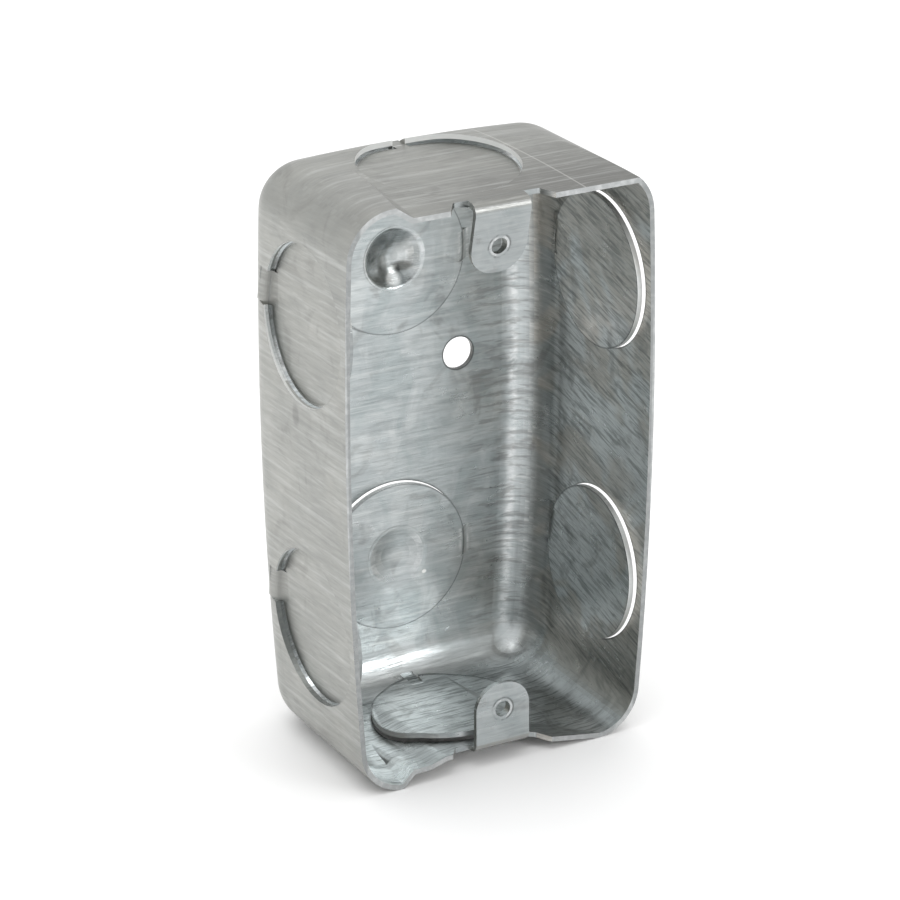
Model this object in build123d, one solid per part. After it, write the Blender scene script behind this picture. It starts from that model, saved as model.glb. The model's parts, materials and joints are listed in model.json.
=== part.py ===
"""Single gang junction box, drawn from one blank of galvanised sheet steel.

The open front faces -Y, the back plate +Y, and the box stands on one of its short ends.
X runs across the box and Z up its length, in millimetres. While it is modelled the origin is
midway between the two ear screws; at the end the box is lifted so that it stands on Z = 0.
"""
from build123d import *
from math import atan2, cos, hypot, radians, sin, sqrt, tan
import os

# Drawn shell, measured outside
box_depth = 38.1            # rim to the outside of the back plate
sheet = 0.9
middle_width = 58.8         # over the long walls at mid-length
top_width = 56.9            # over the sharp corners that the top and the long walls would make
bottom_width = 53.5         # the same at the bottom, where the box is a little narrower
top_height = 52.2           # from mid-length to the middle of the top
top_bow = 1.0               # the top falls by this much towards its sharp corners
bottom_height = 52.1        # from mid-length to the flat bottom
bend_radius = 8.5           # round the corners and where the walls turn into the back plate
rim_y = -box_depth / 2
back_y = box_depth / 2

# Each end is drawn in towards the rim, along an arc whose crown is at the back plate
crown_rise = 0.1            # the crown stands this far outside the outline
top_crown = top_height + crown_rise
top_drop = 2.7              # from the crown to the rim's middle
bottom_crown = bottom_height + crown_rise
bottom_drop = 3.3

# Where the rim leaves that arc: place across the box, and how far it stands out beyond the middle
top_rim = [(-21.6, 3.4), (-16.6, 0)]
bottom_rim = [(-19.9, 3.7), (-17.2, 1.0), (-14.0, 0.9), (-10.8, 0),
              (5.4, 0), (9.6, 1.5), (19.6, 3.2), (24.0, 3.7)]
rim_turn_radius = 0.9

# Knockouts: pushed-in discs, each left hanging on one tie
side_disc_clear_of_rim = 1.65
side_disc_clear_of_bend = 1.15      # of the bend into the top, from the upper disc
back_disc_clear_of_bend = 0.5       # the same
end_disc_clear_of_rim = 4.65
end_disc_clear_of_back = 5.65
knockout_radius = (box_depth - end_disc_clear_of_rim - end_disc_clear_of_back) / 2
shear_gap = 0.1             # all round the disc
knockout_push = 1.5         # the disc stands this far inside its wall
knockout_rise = 1.3         # each pair sits this much above mid-length
pair_rise = top_height - bend_radius - knockout_rise - knockout_radius
tie_reach = 1.9             # the tie bends down over this length on each side of the cut

side_knockout_height = pair_rise - side_disc_clear_of_bend      # from the middle of the pair
side_knockout_y = rim_y + side_disc_clear_of_rim + knockout_radius
side_tie_width = 6.4
side_tie_rise = 10.0        # degrees that a side tie sits above the back of its disc
back_knockout_height = pair_rise - back_disc_clear_of_bend
back_knockout_x = -1.2
back_tie_width = 5.4
end_knockout_y = rim_y + end_disc_clear_of_rim + knockout_radius
top_knockout_x = -1.8
bottom_knockout_x = -0.2
end_tie_width = 2.4

# Dimples pressed into the back discs
dimple_radius = 5.7
upper_dimple_depth = 1.5
lower_dimple_depth = 1.0
dimple_rings = 4            # flat rings that make up each round dimple
dimple_brink = 0.35

# Mounting holes through the back plate, diagonally opposite about the middle of its two discs
mount_hole_radius = 3.0
mount_hole_x = 13.35
mount_hole_z = 7.75

# Ears, folded in from the rim at mid-width, at the standard device spacing
ear_screw_spacing = 83.34
ear_width = 10.4
ear_beyond_hole = 4.9       # from the screw hole's centre to the tip
ear_end_radius = 4.8
ear_hole_radius = 1.45
collar_radius = 2.1         # the thread's collar, drawn out behind the ear
collar_length = 0.7
ear_fold_radius = 1.8       # outside
top_ear_lean = 13.0         # degrees that the ear leans back into the box
bottom_ear_lean = 0.5
relief_mouth = 4.6          # width of the notch beside an ear, at the rim
relief_root = 2.8           # and at its bottom
relief_depth = 2.6
relief_corner_radius = 0.7

# A folded piece is modelled this much inside the faces of the sheet, and laps into it
skin = 0.02
lap = 0.5

relief_y = rim_y + relief_depth
span = 2 * (bottom_drop + top_bow + sheet)      # long enough to cut right through a curved wall


def outline():
    """Face of the box seen from the front: bowed walls and top, flat bottom, round corners."""
    shoulder = top_height - top_bow
    top_corner = (top_width / 2, shoulder)
    bottom_corner = (bottom_width / 2, -bottom_height)
    wall = ThreePointArc(top_corner, (middle_width / 2, 0), bottom_corner)
    top = ThreePointArc(top_corner, (0, top_height), (-top_width / 2, shoulder))
    bottom = Line(bottom_corner, (-bottom_width / 2, -bottom_height))
    face = make_face([wall, top, mirror(wall, about=Plane.YZ), bottom])
    face = fillet(face.vertices().group_by(Axis.Y)[-1], bend_radius)
    return fillet(face.vertices().group_by(Axis.Y)[0], bend_radius)


def arc_radius(drop):
    """Radius of the arc that an end follows from its crown to the rim."""
    return (box_depth**2 + drop**2) / (2 * drop)


def end_height(y, crown, drop):
    """Height of an end's middle from mid-length, outside, at depth y."""
    radius = arc_radius(drop)
    return crown - radius + sqrt(radius**2 - (back_y - y)**2)


def end_slope(y, drop):
    """Slope of an end's middle at depth y, in radians, rising towards the back."""
    radius = arc_radius(drop)
    return atan2(back_y - y, sqrt(radius**2 - (back_y - y)**2))


def barrel(crown, drop, rim, inset):
    """Everything inside an end's arc: a barrel about a line that runs across the box."""
    middle = crown - arc_radius(drop)
    reach = middle_width
    ends = [(-reach, rim[0][1]), *rim, (reach, rim[-1][1])]
    line = [(x, middle + hypot(box_depth, crown - drop + rise - middle)) for x, rise in ends]
    face = make_face(Polyline([(-reach, middle), *line, (reach, middle)], close=True))
    turns = [corner for corner in face.vertices() if abs(corner.X) < reach / 2]
    face = offset(fillet(turns, rim_turn_radius), -inset) if inset else fillet(turns, rim_turn_radius)
    return revolve(Plane.XZ.offset(-back_y) * face, Axis((0, back_y, middle), (1, 0, 0)))


def drawn_form(inset):
    """The box's outside as a solid, or its inside when inset by the sheet."""
    face = offset(outline(), -inset) if inset else outline()
    back = back_y - inset
    form = extrude(Plane.XZ.offset(-back) * face, back - rim_y)
    form = fillet(form.faces().sort_by(Axis.Y)[-1].edges(), bend_radius - inset)
    form &= barrel(top_crown, top_drop, top_rim, inset)
    return form & mirror(barrel(bottom_crown, bottom_drop, bottom_rim, inset), about=Plane.XY)


def wall_height(form, place, along):
    """Local Z of the form's nearer face, at a distance along the place's X."""
    start = (place * Pos(along, 0, -box_depth)).position
    hits = form.find_intersection_points(Axis(start, place.z_dir))
    return min(place.to_local_coords(point).Z for point, _ in hits)


def tie(form, place, width):
    """The sheet left uncut between a wall and its disc, bent down from one to the other."""
    outer = knockout_radius + tie_reach
    inner = knockout_radius - tie_reach
    wall_z = wall_height(form, place, outer) + sheet / 2
    disc_z = wall_height(form, place, inner) + knockout_push + sheet / 2
    middle = (knockout_radius, (wall_z + disc_z) / 2)
    down = TangentArc((outer, wall_z), middle, tangent=(-1, 0))
    level = TangentArc(middle, (inner, disc_z), tangent=down % 1)
    line = [Line((outer + lap, wall_z), (outer, wall_z)), down, level,
            Line((inner, disc_z), (inner - lap, disc_z))]
    section = Plane(place.origin, x_dir=place.x_dir, z_dir=-place.y_dir)
    return extrude(section * trace(line, sheet - 2 * skin), width / 2, both=True)


def flat_disc(depth):
    """Pushed-in disc of the back plate with its dimple, about Z, with the plate's face at Z = 0."""
    radius = knockout_radius - shear_gap
    face = knockout_push + sheet
    bowl = (dimple_radius**2 + depth**2) / (2 * depth)
    centre = face - depth + bowl
    swell = 1 + sheet / bowl
    rings = [dimple_radius * ring / dimple_rings for ring in range(dimple_rings + 1)]
    inside = [(x, centre - sqrt(bowl**2 - x**2)) for x in rings]
    outside = [(x * swell, centre + (z - centre) * swell) for x, z in inside]
    hollow = make_face(Polyline(*inside, (0, face), close=True))
    cap = make_face(Polyline(*outside, (0, face), close=True))
    half = Pos(radius / 2, face - sheet / 2) * Rectangle(radius, sheet) + cap - hollow
    brink = half.vertices().sort_by_distance((dimple_radius, face))[0]
    return revolve(Plane.XZ * chamfer(brink, dimple_brink), Axis.Z)


def wall_disc(body, place):
    """Pushed-in disc of a curved wall: the wall's own sheet, sheared out and moved inwards."""
    disc = body & place * Cylinder(knockout_radius - shear_gap, span)
    return Pos(place.z_dir * knockout_push) * disc


def knock(body, form, place, tie_width, disc):
    """Presses one knockout. The place is on the wall, Z into the box and X towards the tie."""
    slot = place * Pos(knockout_radius, 0, 0) * Box(2 * tie_reach, tie_width, span)
    cut = place * Cylinder(knockout_radius, span)
    return body - cut - slot + (disc - slot) + tie(form, place, tie_width)


def place_on(form, start, out, towards_tie):
    """Plane on a wall, where a line out from the start meets it: Z into the box, X towards the tie."""
    hits = form.find_intersection_points(Axis(start, out))
    point, normal = max(hits, key=lambda hit: hit[0].dot(Vector(out)))
    return Plane(point, x_dir=towards_tie, z_dir=-normal)


def knockouts(body, form):
    lean = radians(side_tie_rise)
    for side in (1, -1):
        for out in (1, -1):
            start = (0, side_knockout_y, knockout_rise + side * side_knockout_height)
            place = place_on(form, start, (out, 0, 0), (0, cos(lean), sin(lean)))
            body = knock(body, form, place, side_tie_width, wall_disc(body, place))
    for side, depth in ((1, upper_dimple_depth), (-1, lower_dimple_depth)):
        start = (back_knockout_x, 0, knockout_rise + side * back_knockout_height)
        place = place_on(form, start, (0, 1, 0), (1, 0, 0))
        body = knock(body, form, place, back_tie_width, place * flat_disc(depth))
    for side, x in ((1, top_knockout_x), (-1, bottom_knockout_x)):
        place = place_on(form, (x, end_knockout_y, 0), (0, 0, side), (0, 1, 0))
        body = knock(body, form, place, end_tie_width, wall_disc(body, place))
    return body


def relief(crown, drop):
    """Cut that frees an ear from the rim of the top end, notched out on both sides."""
    mouth = ear_width / 2 + relief_mouth
    root = ear_width / 2 + relief_root
    ahead = rim_y - relief_depth
    face = make_face(Polyline((mouth, ahead), (mouth, rim_y), (root, relief_y), (-root, relief_y),
                              (-mouth, rim_y), (-mouth, ahead), close=True))
    face = fillet(face.vertices().group_by(Axis.Y)[-1], relief_corner_radius)
    return Pos(0, 0, end_height(rim_y, crown, drop)) * extrude(face, relief_depth + sheet, both=True)


def ear(crown, drop, lean):
    """Ear of the top end: the end's sheet carried on to the rim and folded down."""
    slope = end_slope(relief_y, drop)
    lean = radians(lean)
    radius = ear_fold_radius - sheet / 2
    wall_way = Vector(cos(slope), sin(slope))
    wall_up = Vector(-sin(slope), cos(slope))
    ear_way = Vector(sin(lean), -cos(lean))
    ear_front = Vector(-cos(lean), -sin(lean))
    fold_y = rim_y + ear_fold_radius
    wall_z = end_height(relief_y, crown, drop) + tan(slope) * (fold_y - relief_y)
    fold_z = wall_z - ear_fold_radius / cos(slope)
    fold = Vector(fold_y, fold_z)
    turn = radians(90) - slope + lean
    corner = fold + wall_up * radius - wall_way * (radius * tan(turn / 2))
    root = fold + wall_up * radius + wall_way * ((relief_depth - ear_fold_radius + lap) / cos(slope))
    hole_z = ear_screw_spacing / 2
    tip_z = hole_z - ear_beyond_hole
    tip = fold + ear_front * radius + ear_way * ((fold_z - tip_z + lap) / cos(lean))
    line = FilletPolyline(root, corner, tip, radius=radius)
    strip = extrude(Plane.YZ * trace(line, sheet - 2 * skin), ear_width / 2, both=True)
    tongue = Pos(0, (tip_z + top_crown) / 2) * Rectangle(ear_width, top_crown - tip_z)
    tongue = fillet(tongue.vertices().group_by(Axis.Y)[0], ear_end_radius)
    strip = strip & extrude(Plane.XZ * tongue, box_depth, both=True)
    hole_y = fold_y + ear_front.X * radius + tan(lean) * (fold_z + ear_front.Y * radius - hole_z)
    along_y = Plane((0, hole_y, hole_z), x_dir=(1, 0, 0), z_dir=(0, 1, 0))
    from_middle = (Align.CENTER, Align.CENTER, Align.MIN)
    collar = along_y * Cylinder(collar_radius, sheet / 2 + collar_length, align=from_middle)
    return strip + collar - along_y * Cylinder(ear_hole_radius, 2 * (collar_length + sheet))


def junction_box():
    form = drawn_form(0)
    body = knockouts(form - drawn_form(sheet), form)
    middle = Pos(back_knockout_x, back_y, knockout_rise)
    for side in (1, -1):
        hole = middle * Pos(side * mount_hole_x, 0, side * mount_hole_z) * Rot(90, 0, 0)
        body -= hole * Cylinder(mount_hole_radius, 4 * sheet)
    body = body - relief(top_crown, top_drop) + ear(top_crown, top_drop, top_ear_lean)
    body -= mirror(relief(bottom_crown, bottom_drop), about=Plane.XY)
    body += mirror(ear(bottom_crown, bottom_drop, bottom_ear_lean), about=Plane.XY)
    return Pos(0, 0, bottom_height) * body


os.makedirs("parts", exist_ok=True)
export_step(junction_box(), "parts/box_body.step")
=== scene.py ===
"""Galvanised sheet steel junction box, standing on a pale floor in plain soft light."""
import json
from math import cos, radians, sin

import bpy
from mathutils import Matrix, Vector


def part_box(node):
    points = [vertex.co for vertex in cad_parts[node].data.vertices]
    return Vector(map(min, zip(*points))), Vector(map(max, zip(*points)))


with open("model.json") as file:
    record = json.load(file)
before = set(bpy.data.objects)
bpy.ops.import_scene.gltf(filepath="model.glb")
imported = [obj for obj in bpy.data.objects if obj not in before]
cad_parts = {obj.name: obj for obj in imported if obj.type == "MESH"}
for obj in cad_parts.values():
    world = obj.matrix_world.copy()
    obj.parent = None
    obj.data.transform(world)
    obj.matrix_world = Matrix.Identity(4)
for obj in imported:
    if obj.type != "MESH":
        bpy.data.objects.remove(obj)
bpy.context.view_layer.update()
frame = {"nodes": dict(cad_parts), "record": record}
low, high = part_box("box_body")

# The photograph's camera, fitted to the outline, the rim and the knockouts
PHOTO_SIDE = 900             # pixels
FOCAL_PIXELS = 3504.0
SENSOR = 36.0                # millimetres
AZIMUTH = radians(29.0)      # to the left of the open front
ELEVATION = radians(22.3)
ROLL = radians(-0.25)
DISTANCE = 0.6002
AIM_RIGHT = 0.00034          # the box stands this far left of the picture's middle
AIM_UP = -0.00049            # and this far above it

# The studio, in metres and watts
FLOOR_REACH = 6.0
SURROUNDINGS = 0.95          # strength of the white all round
LIGHTS = {"overhead": {"place": (-0.10, 0.12, 1.2), "size": (1.4, 1.1), "power": 6.5},
          "front": {"place": (0.50, -0.88, 0.50), "size": (0.45, 0.28), "power": 2.4}}

# The box itself. Places and sizes on it are in millimetres from here on
MILLIMETRES = 1000.0         # in one metre
HALF_WIDTH, BACK, TOP = high * MILLIMETRES
RIM = low.y * MILLIMETRES
mounts = {mount["name"]: mount for mount in frame["record"]["mounts"]}
ear_screws = mounts["device_screws"]
MIDDLE = ear_screws["pos_m"][2] * MILLIMETRES                # height midway between the ear screws
EAR_HOLE_RISE = ear_screws["dims"]["spacing_y_mm"] / 2
WALL_BEGINS = {"X": HALF_WIDTH - 4.0, "Y": BACK - 4.55, "Z": TOP - MIDDLE - 6.6}      # from the middle
BEFORE_MOUTH = (0.0, RIM - 5.95, MIDDLE - 0.1)               # what faces this point counts as inside

# Knockouts: the axis that each is punched along, and its centre
KNOCKOUT_RADIUS = 13.85      # midway between the disc's edge and its hole's
PAIR_MIDDLE = MIDDLE + 1.3
SIDE_PAIR, BACK_PAIR = 27.35, 28.0      # from the middle of a pair to each of its discs
SIDE_DISC_Y, BACK_DISC_X, END_DISC_Y = -3.5, -1.2, -0.5
TOP_DISC_X, BOTTOM_DISC_X = -1.8, -0.2
SIDE_DISCS = [(0.0, SIDE_DISC_Y, PAIR_MIDDLE + rise) for rise in (SIDE_PAIR, -SIDE_PAIR)]
BACK_DISCS = [(BACK_DISC_X, 0.0, PAIR_MIDDLE + rise) for rise in (BACK_PAIR, -BACK_PAIR)]
END_DISCS = [(TOP_DISC_X, END_DISC_Y, TOP), (BOTTOM_DISC_X, END_DISC_Y, 0.0)]
KNOCKOUTS = ([("X", disc) for disc in SIDE_DISCS] + [("Y", disc) for disc in BACK_DISCS]
             + [("Z", disc) for disc in END_DISCS])

# What marks their cuts: the sheared faces, a seam of painted shade and a brink of painted highlight, each
# with the distances from the middle of the cut over which it fades out
SHEAR_FADE, SEAM_SHADE_FADE, BRINK_HIGHLIGHT_FADE = (0.30, 0.15), (0.42, 0.10), (0.42, 0.22)
LEFT_CUTS_SHADED = -28.55      # the left wall's cuts carry painted shade from here inwards
BOTTOM_CUTS_SHADED = 1.45      # and the bottom's from here down
BOTTOM_CUTS_END = 6.0        # no other wall's cuts lie as low as this
SIDE_CUTS_BEGIN = 20.0       # and none but the side walls' as far out as this
OUTERMOST = (28.95, 29.15)   # where the outer half of the side walls' sheet begins

# Small forms whose shading is made nearly level, the ties and one corner of the bottom lip:
# the axis that each faces along, its centre, and its half sizes along the two other axes
SIDE_TIE_Y, SIDE_TIE_RISE = 10.2, 2.45
BACK_TIE_X = 12.7
SIDE_TIE, BACK_TIE, LIP_CORNER = (1.9, 3.2), (1.9, 2.7), (4.0, 5.0)
LEVELLED = ([("X", (x, SIDE_TIE_Y, z + SIDE_TIE_RISE), SIDE_TIE) for x, _, z in SIDE_DISCS]
            + [("Y", (BACK_TIE_X, y, z), BACK_TIE) for _, y, z in BACK_DISCS]
            + [("Z", (-20.5, -16.5, 0.0), LIP_CORNER)])
LEVEL_FADE = (0.6, 0.5)      # beyond their half sizes they fade out over this
LEVEL_SHARE = 0.85           # the share of their slope that is lost

# Dimples in the back discs: centre, steepness, gloss
DIMPLES = [(BACK_DISCS[0], 0.70, 1.0), (BACK_DISCS[1], 0.20, 0.0)]
DIMPLE_STEEPEST, DIMPLE_TURN = 3.9, 5.0                      # radii between which the slope is full
DIMPLE_BRINK, DIMPLE_EDGE = 5.6, 5.9                         # radii over which the bowl ends

# Screw holes, with the radii where the lines round them and the ears' burrs, with their painted highlight
# and painted shade, begin and end
PLATE_HOLES = [(BACK_DISC_X + side * 13.35, 0.0, PAIR_MIDDLE + side * 7.75) for side in (1, -1)]
PLATE_LINE_START, PLATE_LINE_END = 2.9, (3.35, 3.10)
EAR_HOLES = [(0.0, 0.0, MIDDLE + side * EAR_HOLE_RISE) for side in (1, -1)]
BURR_END, BURR_SHADE_START, BURR_SHADE_END = (1.95, 1.75), (1.80, 2.00), (2.30, 2.10)

# Where the tone changes on the box
BROWNER_UP = (42.0, 78.0)    # height on the inner sides
TOP_FRONT, TOP_RIGHT = (4.0, -18.0), (-22.0, 15.0)
LIP_FRONT, LIP_LEFT = (-12.0, -17.0), (-8.0, -16.0)
BENDS_OUT, BENDS_BEHIND = (11.0, 17.0), 6.0
EAR_HALF_WIDTH, EAR_DEPTH = 8.0, 5.05
EAR_DARKER_UP = (30.0, 70.0)
RIM_DEPTH = 0.45
SIDE_RIM = (26.0, 26.5)      # the side rims lie farther out than this

# Hatching: how far its lines fall for each millimetre to the back, and what sets each wall's lines apart
DIP_INSIDE, DIP_OUTSIDE = -0.25, 0.03
LEVEL_JUMP, OUTSIDE_JUMP = 31.0, 17.0
HATCH_BUMP = {"Strength": 0.55, "Distance": 0.00014}         # distances in metres
WAVE_BUMP = {"Strength": 0.5, "Distance": 0.0008}

# Spots and smudges, and in the upper dimple a painted dark reflection and a painted highlight: centre,
# radii, share, colour
SPOTS_INSIDE = 10.0          # those that lie behind this are inside the box
SPOTS_AND_GLINTS = [((-29.4, -1.1, 64.2), (2.0, 1.6, 2.6), 0.40, (0.16, 0.16, 0.155, 1)),
         # a painted dark reflection and a painted highlight in the upper dimple
         ((0.6, 17.5, 79.5), (3.0, 2.5, 1.2), 0.75, (0.10, 0.10, 0.09, 1)),
         ((-1.0, 17.5, 77.5), (1.9, 2.5, 1.7), 0.95, (0.96, 0.97, 0.97, 1)),
         ((3.0, 18.1, 72.8), (0.45, 1.5, 0.45), 0.90, (0.03, 0.03, 0.03, 1)),
         ((-8.5, 18.1, 27.5), (0.45, 1.5, 0.45), 0.90, (0.03, 0.03, 0.03, 1)),
         ((4.2, 16.7, 21.4), (0.6, 1.5, 0.5), 0.80, (0.90, 0.90, 0.88, 1)),
         ((-1.5, -13.9, 103.0), (0.8, 0.8, 1.5), 0.60, (0.10, 0.10, 0.10, 1))]
SCRATCH_WAY, SCRATCH_PLACE = (0.991, 0.137, 0.0), 12.67      # square to the scratch, and how far that way
SCRATCH_ABOVE, SCRATCH_FADE = 100.0, (0.22, 0.05)

# Colours of the zinc
# Outside warm and inside cool; the inside is painted paler and the outside darker, as painted light and
# shade
OUTSIDE_DARK, OUTSIDE_LIGHT = (0.350, 0.350, 0.330, 1), (0.450, 0.455, 0.430, 1)
INSIDE_DARK, INSIDE_LIGHT = (0.500, 0.535, 0.540, 1), (0.630, 0.665, 0.670, 1)
# Painted light: the inner ends and inner sides made paler
INNER_END_PAINTED_LIGHT, INNER_SIDE_PAINTED_LIGHT = (0.93, 0.96, 0.96, 1), (0.86, 0.88, 0.87, 1)
# Painted shade: the inner back plate darker, and its upright bends darker still
INNER_BACK_PAINTED_SHADE, INNER_BEND_PAINTED_SHADE = (0.26, 0.30, 0.31, 1), (0.16, 0.18, 0.185, 1)
BROWN, STAIN, CLOUD = (0.60, 0.565, 0.51, 1), (0.16, 0.155, 0.145, 1), (0.20, 0.215, 0.215, 1)
BLOTCH_DARK, BLOTCH_LIGHT = (0.28, 0.335, 0.34, 1), (0.62, 0.645, 0.64, 1)
WARM_SHADE, COOL_SHADE = (0.20, 0.20, 0.19, 1), (0.30, 0.33, 0.33, 1)
# The light stroke colour is also laid on the inner bends as painted highlight
STROKE_DARK, STROKE_LIGHT_AND_HIGHLIGHT = (0.12, 0.13, 0.13, 1), (0.74, 0.75, 0.73, 1)
STREAK_DARK, STREAK_LIGHT = (0.22, 0.235, 0.235, 1), (0.70, 0.72, 0.71, 1)
# The bend colour is a painted highlight down the upright bends inside
FINE_DARK, DASH_DARK, BEND_HIGHLIGHT = (0.15, 0.16, 0.16, 1), (0.20, 0.20, 0.195, 1), (0.92, 0.93, 0.93, 1)
# The seam colour is painted shade beside the knockout cuts
SEAM_SHADE, HOLE_LINE, SCRATCH = (0.08, 0.085, 0.085, 1), (0.06, 0.065, 0.065, 1), (0.75, 0.75, 0.72, 1)
# The burr colour is a painted highlight, and the burr line painted shade round it
EAR_DARKER, BURR_SHADE, BURR_HIGHLIGHT = (0.22, 0.23, 0.23, 1), (0.07, 0.07, 0.07, 1), (0.80, 0.81, 0.81, 1)
# Sheared faces: bare cut steel with a painted highlight, and painted shade deep in the cuts
SHEARED_AND_HIGHLIGHT, SHEARED_SHADE = (0.90, 0.91, 0.90, 1), (0.20, 0.21, 0.21, 1)
RIM_DARK, RIM_LIGHT, RIM_SHADE = (0.37, 0.38, 0.38, 1), (0.50, 0.51, 0.51, 1), (0.16, 0.17, 0.17, 1)

# Noises: scale in waves a millimetre, or stretch along each axis, then detail, roughness, distortion
MOTTLE, CLOUDS, STAINS = (0.20, 4.0, 0.65, 0.6), (0.06, 3.0, 0.6, 0.5), (0.11, 3.0, 0.6, 1.2)
BLOTCHES, WORN, WAVES, BROKEN = (0.16, 3.0, 0.55, 0.8), (0.8, 3.0, 0.6), (0.07, 2.0, 0.5), (0.7, 2.0)
BLOTCH_STRETCH = (1.0, 1.0, 0.6)
STROKES, STREAKS = ((0.16, 1.0, 1.5), 4.0, 0.62, 0.5), ((0.035, 1.0, 0.9), 3.0, 0.6, 0.1)
FINE_LINES, BEND_LINES = ((0.35, 1.0, 4.5), 2.0, 0.6, 0.3), ((0.35, 0.35, 0.7), 4.0, 0.65, 0.8)
BEND_DASHES = ((0.16, 0.16, 1.05), 3.0, 0.6, 0.5)

# The mixing node's first input and its output, for each kind of value
MIX_SOCKETS = {"FLOAT": (2, 0), "VECTOR": (4, 1), "RGBA": (6, 2)}


def look_at(centre):
    """Makes the camera and aims it at the middle of the box."""
    back = Vector((-sin(AZIMUTH) * cos(ELEVATION), -cos(AZIMUTH) * cos(ELEVATION), sin(ELEVATION)))
    level = (-back).cross(Vector((0, 0, 1))).normalized()
    upright = back.cross(level)
    right = level * cos(ROLL) + upright * sin(ROLL)
    up = upright * cos(ROLL) - level * sin(ROLL)
    aim = centre + right * AIM_RIGHT + up * AIM_UP
    data = bpy.data.cameras.new("camera")
    data.sensor_width = SENSOR
    data.lens = SENSOR * FOCAL_PIXELS / PHOTO_SIDE
    data.clip_start = 0.01
    camera = bpy.data.objects.new("camera", data)
    bpy.context.scene.collection.objects.link(camera)
    turn = Matrix((right, up, back)).transposed().to_4x4()
    camera.matrix_world = Matrix.Translation(aim + back * DISTANCE) @ turn
    bpy.context.scene.camera = camera


class Nodes:
    """Short names for building one material's nodes."""

    def __init__(self, name):
        self.material = bpy.data.materials.new(name)
        self.material.use_nodes = True
        self.tree = self.material.node_tree
        self.tree.nodes.clear()

    def add(self, kind, inputs=None, **settings):
        made = self.tree.nodes.new(kind)
        for key, value in settings.items():
            setattr(made, key, value)
        for key, value in (inputs or {}).items():
            self.put(made.inputs[key], value)
        return made

    def put(self, socket, value):
        if isinstance(value, bpy.types.NodeSocket):
            self.tree.links.new(value, socket)
        else:
            socket.default_value = value

    def math(self, operation, first, second=0.0, third=0.0):
        made = self.add("ShaderNodeMath", operation=operation)
        for socket, value in zip(made.inputs, (first, second, third)):
            self.put(socket, value)
        return made.outputs[0]

    def times(self, *values):
        """The product of two or more numbers."""
        product = values[0]
        for value in values[1:]:
            product = self.math("MULTIPLY", product, value)
        return product

    def most(self, *values):
        """The largest of two or more numbers."""
        largest = values[0]
        for value in values[1:]:
            largest = self.math("MAXIMUM", largest, value)
        return largest

    def without(self, share):
        """What a share leaves of 1."""
        return self.math("SUBTRACT", 1.0, share)

    def above(self, value, limit):
        """1 where a number is above a limit, and 0 elsewhere."""
        return self.math("GREATER_THAN", value, limit)

    def below(self, value, limit):
        """1 where a number is below a limit, and 0 elsewhere."""
        return self.math("LESS_THAN", value, limit)

    def size(self, value):
        """A number without its sign."""
        return self.math("ABSOLUTE", value)

    def vector(self, operation, first, second=None, output=0):
        made = self.add("ShaderNodeVectorMath", operation=operation)
        self.put(made.inputs[0], first)
        if second is not None:
            self.put(made.inputs["Scale" if operation == "SCALE" else 1], second)
        return made.outputs[output]

    def length(self, vector):
        return self.vector("LENGTH", vector, output="Value")

    def dot(self, first, second):
        return self.vector("DOT_PRODUCT", first, second, output="Value")

    def parts(self, vector):
        """A vector's three numbers, by the axis's letter."""
        return self.add("ShaderNodeSeparateXYZ", {0: vector}).outputs

    def spread(self, value, low, high, start=0.0, end=1.0):
        """Maps low..high of a value onto start..end, softly, and holds it there beyond."""
        made = self.add("ShaderNodeMapRange", interpolation_type="SMOOTHSTEP")
        for key, given in (("Value", value), ("From Min", low), ("From Max", high), ("To Min", start),
                           ("To Max", end)):
            self.put(made.inputs[key], given)
        return made.outputs[0]

    def noise(self, at, scale, detail, roughness=0.5, distortion=0.0):
        return self.add("ShaderNodeTexNoise", {"Vector": at, "Scale": scale, "Detail": detail,
                        "Roughness": roughness, "Distortion": distortion}).outputs["Fac"]

    def stretched_noise(self, at, stretch, detail, roughness, distortion):
        return self.noise(self.vector("MULTIPLY", at, stretch), 1.0, detail, roughness, distortion)

    def mix(self, kind, share, first, second):
        """Mixes two numbers, directions or colours."""
        socket, output = MIX_SOCKETS[kind]
        made = self.add("ShaderNodeMix", data_type=kind)
        for key, value in ((0, share), (socket, first), (socket + 1, second)):
            self.put(made.inputs[key], value)
        return made.outputs[output]

    def blend(self, share, first, second):
        """Mixes two numbers."""
        return self.mix("FLOAT", share, first, second)

    def coat(self, colour, over, *shares):
        """Lays another colour over the first, as thickly as the product of its shares."""
        return self.mix("RGBA", self.times(*shares), colour, over)


class Sheet:
    """Where a shaded point of the box lies, and which way the sheet faces there."""

    def __init__(self, n):
        geometry = n.add("ShaderNodeNewGeometry").outputs
        self.at = n.vector("SCALE", n.add("ShaderNodeTexCoord").outputs["Object"], MILLIMETRES)
        self.place = n.parts(self.at)
        self.x, self.y, self.z = self.place
        self.normal = geometry["True Normal"]
        self.smooth = geometry["Normal"]
        self.facing = n.parts(n.vector("ABSOLUTE", self.normal))
        self.round = n.parts(n.vector("ABSOLUTE", self.smooth))["X"]
        self.steepest = n.most(self.facing["X"], n.most(self.facing["Y"], self.facing["Z"]))
        self.level = n.spread(self.facing["Z"], 0.55, 0.85)
        self.sideways = n.spread(self.facing["X"], 0.55, 0.85)
        self.backward = n.spread(self.facing["Y"], 0.75, 0.98)
        self.upright = n.spread(self.facing["Z"], 0.35, 0.15)
        from_mouth = n.vector("SUBTRACT", self.at, BEFORE_MOUTH)
        self.outside = n.spread(n.dot(self.normal, from_mouth), -1.0, 1.0)
        self.inside = n.without(self.outside)
        self.off_middle = n.size(self.x)


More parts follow.
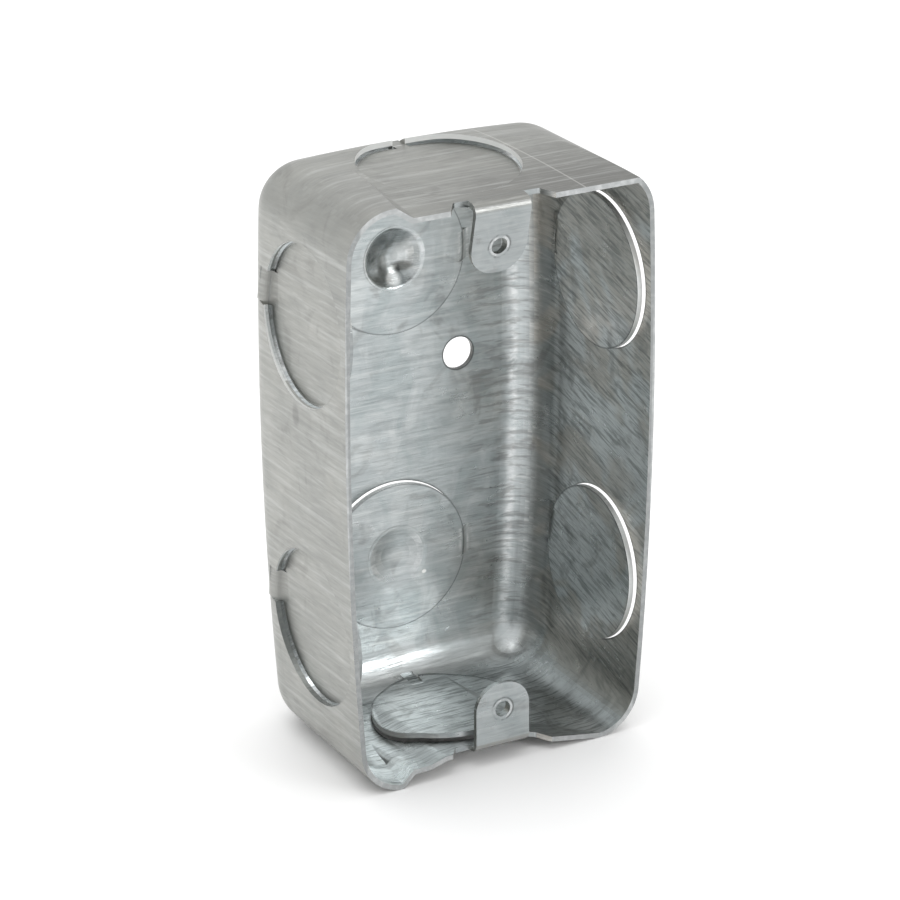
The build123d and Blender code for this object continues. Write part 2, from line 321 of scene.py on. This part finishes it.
def near_axis(n, sheet, axis, centre):
    """The way to a point from an axis through a wall, its length, and 1 only for points in that wall."""
    flat = [float(letter != axis) for letter in "XYZ"]
    away = n.vector("MULTIPLY", n.vector("SUBTRACT", sheet.at, centre), flat)
    beyond = n.math("SUBTRACT", sheet.place[axis], MIDDLE if axis == "Z" else 0.0)
    if axis == "X":
        beyond = n.size(beyond)
    elif axis == "Z" and centre[2] < MIDDLE:
        beyond = n.times(beyond, -1.0)
    return away, n.length(away), n.above(beyond, WALL_BEGINS[axis])


def knockout_edges(n, sheet):
    """The sheared faces round the knockouts, a thin line of painted shade beside each, and a line of painted
    highlight on its disc.
    """
    sheared, seam_shade, brink_highlight = 0.0, 0.0, 0.0
    for axis, centre in KNOCKOUTS:
        _, reach, here = near_axis(n, sheet, axis, centre)
        off_cut = n.size(n.math("SUBTRACT", reach, KNOCKOUT_RADIUS))
        on_sheet = n.spread(sheet.facing[axis], 0.4, 0.6)
        on_edge = n.spread(sheet.facing[axis], 0.6, 0.4)
        on_disc = n.times(n.below(reach, KNOCKOUT_RADIUS), on_sheet)
        sheared = n.most(sheared, n.times(n.spread(off_cut, *SHEAR_FADE), on_edge, here))
        seam_shade = n.most(seam_shade, n.times(n.spread(off_cut, *SEAM_SHADE_FADE), on_sheet, here))
        brink_highlight = n.most(brink_highlight, n.times(n.spread(off_cut, *BRINK_HIGHLIGHT_FADE), on_disc, here))
    return sheared, seam_shade, brink_highlight


def level_ties(n, sheet, bent):
    """Turns the shading of the ties nearly level, and gives the places of those at the sides."""
    tied = 0.0
    for axis, centre, (along, across) in LEVELLED:
        off = n.parts(n.vector("ABSOLUTE", n.vector("SUBTRACT", sheet.at, centre)))
        first, second = [letter for letter in "XYZ" if letter != axis]
        only = [float(letter == axis) for letter in "XYZ"]
        _, _, here = near_axis(n, sheet, axis, centre)
        share = n.times(n.spread(off[first], along + LEVEL_FADE[0], along),
                        n.spread(off[second], across + LEVEL_FADE[1], across),
                        n.spread(sheet.facing[axis], 0.15, 0.3), here)
        wall = n.vector("SIGN", n.vector("MULTIPLY", sheet.normal, only))
        bent = n.mix("VECTOR", n.times(share, LEVEL_SHARE), bent, wall)
        if axis == "X":
            tied = n.most(tied, share)
    return bent, tied


def round_dimples(n, sheet, bent):
    """Turns the shading of the dimples to that of round bowls, and gives the places of the glossy ones."""
    pit = 0.0
    side = n.times(n.math("SIGN", n.parts(sheet.normal)["Y"]), -1.0)
    for centre, steepness, gloss in DIMPLES:
        away, reach, here = near_axis(n, sheet, "Y", centre)
        slope = n.times(n.spread(reach, 0.0, DIMPLE_STEEPEST), n.spread(reach, DIMPLE_EDGE, DIMPLE_TURN))
        lean = n.vector("SCALE", n.vector("NORMALIZE", away), n.times(slope, steepness, -1.0))
        bowl = n.vector("NORMALIZE", n.vector("ADD", lean, (0.0, -1.0, 0.0)))
        within = n.times(n.spread(reach, DIMPLE_EDGE, DIMPLE_BRINK), here)
        bent = n.mix("VECTOR", within, bent, n.vector("SCALE", bowl, side))
        pit = n.math("MULTIPLY_ADD", within, gloss, pit)
    return bent, pit


def hatching(n, sheet):
    """Lines left by rolling and drawing: round the walls, where they slant inside, and across the ends."""
    dip = n.blend(sheet.outside, DIP_INSIDE, DIP_OUTSIDE)
    slanted = n.math("MULTIPLY_ADD", sheet.y, dip, sheet.z)
    wall = n.math("ADD", n.times(sheet.level, LEVEL_JUMP), n.times(sheet.outside, OUTSIDE_JUMP))
    along = n.blend(sheet.sideways, sheet.x, sheet.y)
    across = n.blend(sheet.level, slanted, sheet.y)
    laid = n.add("ShaderNodeCombineXYZ", {"X": along, "Y": wall, "Z": across}).outputs[0]
    return [n.stretched_noise(laid, *lines) for lines in (STROKES, STREAKS, FINE_LINES)]


def base_tone_and_painted_light(n, sheet, mottle):
    """Warm grey outside, cool inside, with painted light and shade: paler inside than outside, palest on the
    inner ends, darker on the back plate and its bends.
    """
    warm = n.mix("RGBA", mottle, OUTSIDE_DARK, OUTSIDE_LIGHT)
    cool = n.mix("RGBA", mottle, INSIDE_DARK, INSIDE_LIGHT)
    cool = n.coat(cool, INNER_END_PAINTED_LIGHT, sheet.level, sheet.inside, 0.88)
    cool = n.coat(cool, INNER_SIDE_PAINTED_LIGHT, sheet.sideways, 0.45)
    cool = n.coat(cool, INNER_BACK_PAINTED_SHADE, sheet.backward, 0.36)
    # painted shade on the upright bends inside, next to the side walls
    bend_shade = n.times(n.spread(sheet.round, 0.42, 0.72), n.spread(sheet.round, 0.999, 0.96),
                      n.spread(sheet.facing["Z"], 0.5, 0.3))
    cool = n.coat(cool, INNER_BEND_PAINTED_SHADE, bend_shade, 0.50)
    return n.mix("RGBA", sheet.outside, cool, warm)


def patches(n, sheet, zinc):
    """Brown patches on the inner sides, most of them high up, dark stains, and blotches on the plate."""
    clouds = n.noise(sheet.at, *CLOUDS)
    browner = n.spread(sheet.z, *BROWNER_UP, 0.0, 0.07)
    brown = n.spread(n.math("ADD", clouds, browner), 0.44, 0.56)
    zinc = n.coat(zinc, BROWN, brown, sheet.sideways, sheet.inside, 0.80)
    stain = n.spread(n.noise(sheet.at, *STAINS), 0.54, 0.68)
    zinc = n.coat(zinc, STAIN, stain, n.blend(sheet.outside, 0.38, 0.22))
    zinc = n.coat(zinc, CLOUD, n.spread(clouds, 0.35, 0.65, 0.0, 0.20))
    blotch = n.noise(n.vector("MULTIPLY", sheet.at, BLOTCH_STRETCH), *BLOTCHES)
    plate = n.times(sheet.backward, sheet.inside, 0.30)
    zinc = n.coat(zinc, BLOTCH_DARK, n.spread(blotch, 0.50, 0.62), plate)
    return n.coat(zinc, BLOTCH_LIGHT, n.spread(blotch, 0.48, 0.36), plate)


def shades(n, sheet, zinc, tied):
    """The top is darker to the front and right, and so are the side ties and the bottom lip's left."""
    front = n.spread(sheet.y, *TOP_FRONT, 0.30, 0.95)
    right = n.spread(sheet.x, *TOP_RIGHT, 0.35, 1.0)
    zinc = n.coat(zinc, WARM_SHADE, sheet.level, sheet.outside, front, right)
    zinc = n.coat(zinc, WARM_SHADE, tied, sheet.outside, 0.30)
    lip = n.times(n.spread(sheet.y, *LIP_FRONT), n.spread(sheet.x, *LIP_LEFT))
    return n.coat(zinc, COOL_SHADE, lip, sheet.level, sheet.inside, 0.35)


def hatch_lines(n, sheet, zinc, strokes, streaks, fine):
    """Dense dark hatching on the inner sides and bottom, faint on the back plate and outside."""
    even = n.spread(sheet.steepest, 0.90, 0.99, 0.35, 1.0)
    depth = n.times(n.blend(sheet.outside, n.blend(sheet.backward, 0.55, 0.14), 0.08), even)
    zinc = n.coat(zinc, STROKE_DARK, n.spread(strokes, 0.54, 0.36), depth)
    zinc = n.coat(zinc, FINE_DARK, n.spread(fine, 0.55, 0.35), depth, 0.5)
    lift = n.times(n.blend(sheet.outside, n.blend(sheet.backward, 0.32, 0.18), 0.15), even)
    # painted highlight: more light strokes on the inner bends
    inner_bend_highlight = n.times(sheet.upright, n.spread(sheet.steepest, 0.99, 0.93), sheet.inside)
    lift = n.math("MULTIPLY_ADD", inner_bend_highlight, 0.30, lift)
    zinc = n.coat(zinc, STROKE_LIGHT_AND_HIGHLIGHT, n.spread(strokes, 0.54, 0.70), lift)
    faint = n.times(even, n.blend(sheet.outside, 0.24, 0.22))
    zinc = n.coat(zinc, STREAK_LIGHT, n.spread(streaks, 0.50, 0.68), faint)
    return n.coat(zinc, STREAK_DARK, n.spread(streaks, 0.46, 0.30), faint)


def bend_highlight_and_dashes(n, sheet, zinc):
    """A broken painted highlight down each upright bend inside, and short dark dashes across it."""
    turn = n.times(n.spread(sheet.round, 0.10, 0.30), n.spread(sheet.round, 0.46, 0.32), sheet.inside,
                   sheet.upright)
    # a painted highlight down each upright bend, broken by noise
    light = n.spread(n.stretched_noise(sheet.at, *BEND_LINES), 0.30, 0.75)
    zinc = n.coat(zinc, BEND_HIGHLIGHT, turn, light, 0.60)
    bend = n.times(n.spread(sheet.off_middle, *BENDS_OUT), n.above(sheet.y, BENDS_BEHIND), sheet.inside,
                   sheet.upright, n.spread(sheet.round, 0.95, 0.55))
    dashes = n.spread(n.stretched_noise(sheet.at, *BEND_DASHES), 0.50, 0.62)
    return n.coat(zinc, DASH_DARK, bend, dashes, 0.50)


def marks_and_glints(n, sheet, zinc):
    """The lines round the mounting holes, small spots and smudges, a painted dark reflection and a painted
    highlight in the upper dimple, and the scratch along the top.
    """
    for centre in PLATE_HOLES:
        _, reach, _ = near_axis(n, sheet, "Y", centre)
        line = n.times(n.spread(reach, *PLATE_LINE_END), n.above(reach, PLATE_LINE_START))
        zinc = n.coat(zinc, HOLE_LINE, line, 0.80)
    for centre, radii, share, tone in SPOTS_AND_GLINTS:
        off = n.vector("DIVIDE", n.vector("SUBTRACT", sheet.at, centre), radii)
        face = sheet.inside if centre[1] > SPOTS_INSIDE else sheet.outside
        zinc = n.coat(zinc, tone, n.spread(n.length(off), 1.0, 0.45), face, share)
    off_line = n.size(n.math("SUBTRACT", n.dot(sheet.at, SCRATCH_WAY), SCRATCH_PLACE))
    return n.coat(zinc, SCRATCH, n.spread(off_line, *SCRATCH_FADE), n.above(sheet.z, SCRATCH_ABOVE), 0.35)


def ears(n, sheet, zinc):
    """Darker ears, the upper one more, each with a burr painted as a highlight and a line of painted shade
    round its screw hole.
    """
    ear = n.times(n.below(sheet.off_middle, EAR_HALF_WIDTH), n.below(sheet.y, RIM + EAR_DEPTH),
                  sheet.backward)
    zinc = n.coat(zinc, EAR_DARKER, ear, n.spread(sheet.z, *EAR_DARKER_UP, 0.28, 0.45))
    broken = n.spread(n.noise(sheet.at, *BROKEN), 0.40, 0.60, 0.15, 1.0)
    burr = 0.0
    for centre in EAR_HOLES:
        _, reach, _ = near_axis(n, sheet, "Y", centre)
        # painted shade round each burr, and the burr's painted highlight
        line = n.times(n.spread(reach, *BURR_SHADE_START), n.spread(reach, *BURR_SHADE_END))
        lip = n.times(n.spread(reach, *BURR_END), ear, broken)
        zinc = n.coat(zinc, BURR_SHADE, line, ear, broken, 0.60)
        zinc = n.coat(zinc, BURR_HIGHLIGHT, lip, 0.45)
        burr = n.most(burr, lip)
    return zinc, burr, ear


def cut_edges(n, sheet, zinc, sheared, brink_highlight, tied):
    """Sheared faces bright as bare steel and painted highlight, painted shade deep in the left and bottom
    cuts, and a painted highlight line on the discs outside.
    """
    left = n.below(sheet.x, -SIDE_CUTS_BEGIN)
    shaded_deep = n.most(n.times(left, n.above(sheet.x, LEFT_CUTS_SHADED)), n.below(sheet.z, BOTTOM_CUTS_SHADED))
    shown = n.times(sheared, n.without(shaded_deep), n.blend(n.above(sheet.x, SIDE_CUTS_BEGIN), 1.0, 0.55),
                    n.blend(n.below(sheet.z, BOTTOM_CUTS_END), 1.0, 0.45))
    # painted shade deep in the left and bottom cuts
    zinc = n.coat(zinc, SHEARED_SHADE, sheared, shaded_deep, 0.6)
    # the sheared faces' painted highlight, strongest on the outer half of the side walls
    outermost = n.spread(sheet.off_middle, *OUTERMOST)
    bright = n.blend(left, 0.9, n.math("MULTIPLY_ADD", outermost, 0.70, 0.20))
    zinc = n.coat(zinc, SHEARED_AND_HIGHLIGHT, shown, bright)
    # painted highlight along the discs' brink outside
    zinc = n.coat(zinc, SHEARED_AND_HIGHLIGHT, brink_highlight, sheet.outside, n.without(tied), 0.55)
    return zinc, shown, outermost


def worn_and_shaded_rim(n, sheet, zinc, ear, outermost):
    """The worn front face of the sheet, with painted shade on the inner half of the sides."""
    rim = n.times(n.below(sheet.y, RIM + RIM_DEPTH), n.spread(sheet.facing["Y"], 0.6, 0.9), n.without(ear))
    worn = n.spread(n.noise(sheet.at, *WORN), 0.40, 0.70)
    zinc = n.coat(zinc, n.mix("RGBA", worn, RIM_DARK, RIM_LIGHT), rim, 0.85)
    # painted shade on the inner half of the side rims
    side = n.spread(sheet.off_middle, *SIDE_RIM)
    return n.coat(zinc, RIM_SHADE, side, n.without(outermost), rim, 0.45)


def galvanised_steel():
    """Dull zinc on sheet steel: mottled, hatched, and bright where it is sheared, with painted light, shade
    and highlights on its faces, bends, cuts, burrs and upper dimple.
    """
    n = Nodes("galvanised_steel")
    sheet = Sheet(n)
    bent, tied = level_ties(n, sheet, sheet.smooth)
    bent, pit = round_dimples(n, sheet, bent)
    sheared, seam_shade, brink_highlight = knockout_edges(n, sheet)
    strokes, streaks, fine = hatching(n, sheet)
    mottle = n.noise(sheet.at, *MOTTLE)

    zinc = base_tone_and_painted_light(n, sheet, mottle)
    zinc = patches(n, sheet, zinc)
    zinc = shades(n, sheet, zinc, tied)
    zinc = hatch_lines(n, sheet, zinc, strokes, streaks, fine)
    zinc = bend_highlight_and_dashes(n, sheet, zinc)
    # painted shade beside the knockout cuts
    zinc = n.coat(zinc, SEAM_SHADE, seam_shade, n.blend(sheet.outside, 0.60, 0.06))
    zinc = marks_and_glints(n, sheet, zinc)
    zinc, burr, ear = ears(n, sheet, zinc)
    zinc, shown, outermost = cut_edges(n, sheet, zinc, sheared, brink_highlight, tied)
    zinc = worn_and_shaded_rim(n, sheet, zinc, ear, outermost)

    roughness = n.math("MULTIPLY_ADD", mottle, 0.14, n.blend(sheet.outside, 0.22, 0.30))
    roughness = n.math("MULTIPLY_ADD", n.spread(strokes, 0.54, 0.36), 0.06, roughness)
    roughness = n.blend(n.times(pit, 0.8), roughness, 0.20)
    roughness = n.blend(shown, roughness, 0.45)
    roughness = n.blend(n.times(burr, 0.5), roughness, 0.15)

    lines = n.math("MULTIPLY_ADD", strokes, 0.7, n.times(fine, 0.3))
    waves = n.noise(sheet.at, *WAVES)
    bent = n.vector("NORMALIZE", bent)
    bent = n.add("ShaderNodeBump", {**HATCH_BUMP, "Height": lines, "Normal": bent}).outputs[0]
    bent = n.add("ShaderNodeBump", {**WAVE_BUMP, "Height": waves, "Normal": bent}).outputs[0]
    shader = n.add("ShaderNodeBsdfPrincipled", {"Base Color": zinc, "Metallic": n.blend(shown, 1.0, 0.35),
                                                "Roughness": roughness, "Normal": bent})
    n.add("ShaderNodeOutputMaterial", {"Surface": shader.outputs[0]})
    return n.material


def floor_white():
    """The floor's plain, pale material."""
    n = Nodes("floor_white")
    shader = n.add("ShaderNodeBsdfPrincipled", {"Base Color": (0.95, 0.95, 0.95, 1), "Roughness": 0.6})
    n.add("ShaderNodeOutputMaterial", {"Surface": shader.outputs[0]})
    return n.material


def floor():
    """A square floor that reaches past the picture's edges."""
    mesh = bpy.data.meshes.new("floor")
    reach = FLOOR_REACH
    corners = [(-reach, -reach, 0), (reach, -reach, 0), (reach, reach, 0), (-reach, reach, 0)]
    mesh.from_pydata(corners, [], [(0, 1, 2, 3)])
    mesh.materials.append(floor_white())
    ground = bpy.data.objects.new("floor", mesh)
    bpy.context.scene.collection.objects.link(ground)


def softbox(name, place, aim, size, power):
    """A rectangular light at a place, turned towards the aim."""
    data = bpy.data.lights.new(name, "AREA")
    data.shape = "RECTANGLE"
    data.size, data.size_y = size
    data.energy = power
    lamp = bpy.data.objects.new(name, data)
    lamp.location = place
    lamp.rotation_mode = "QUATERNION"
    lamp.rotation_quaternion = (Vector(place) - aim).to_track_quat("Z", "Y")
    bpy.context.scene.collection.objects.link(lamp)


def studio(centre):
    """White surroundings, a large light overhead and a small one at the front right."""
    world = bpy.data.worlds.new("studio")
    bpy.context.scene.world = world
    world.use_nodes = True
    back = world.node_tree.nodes["Background"]
    back.inputs["Color"].default_value = (1.0, 1.0, 1.0, 1)
    back.inputs["Strength"].default_value = SURROUNDINGS
    for name, light in LIGHTS.items():
        softbox(name, aim=centre, **light)
    view = bpy.context.scene.view_settings
    view.view_transform = "Standard"
    view.look = "None"


centre = (low + high) / 2
look_at(centre)
studio(centre)
floor()
body = frame["nodes"]["box_body"]
body.data.materials.clear()
body.data.materials.append(galvanised_steel())
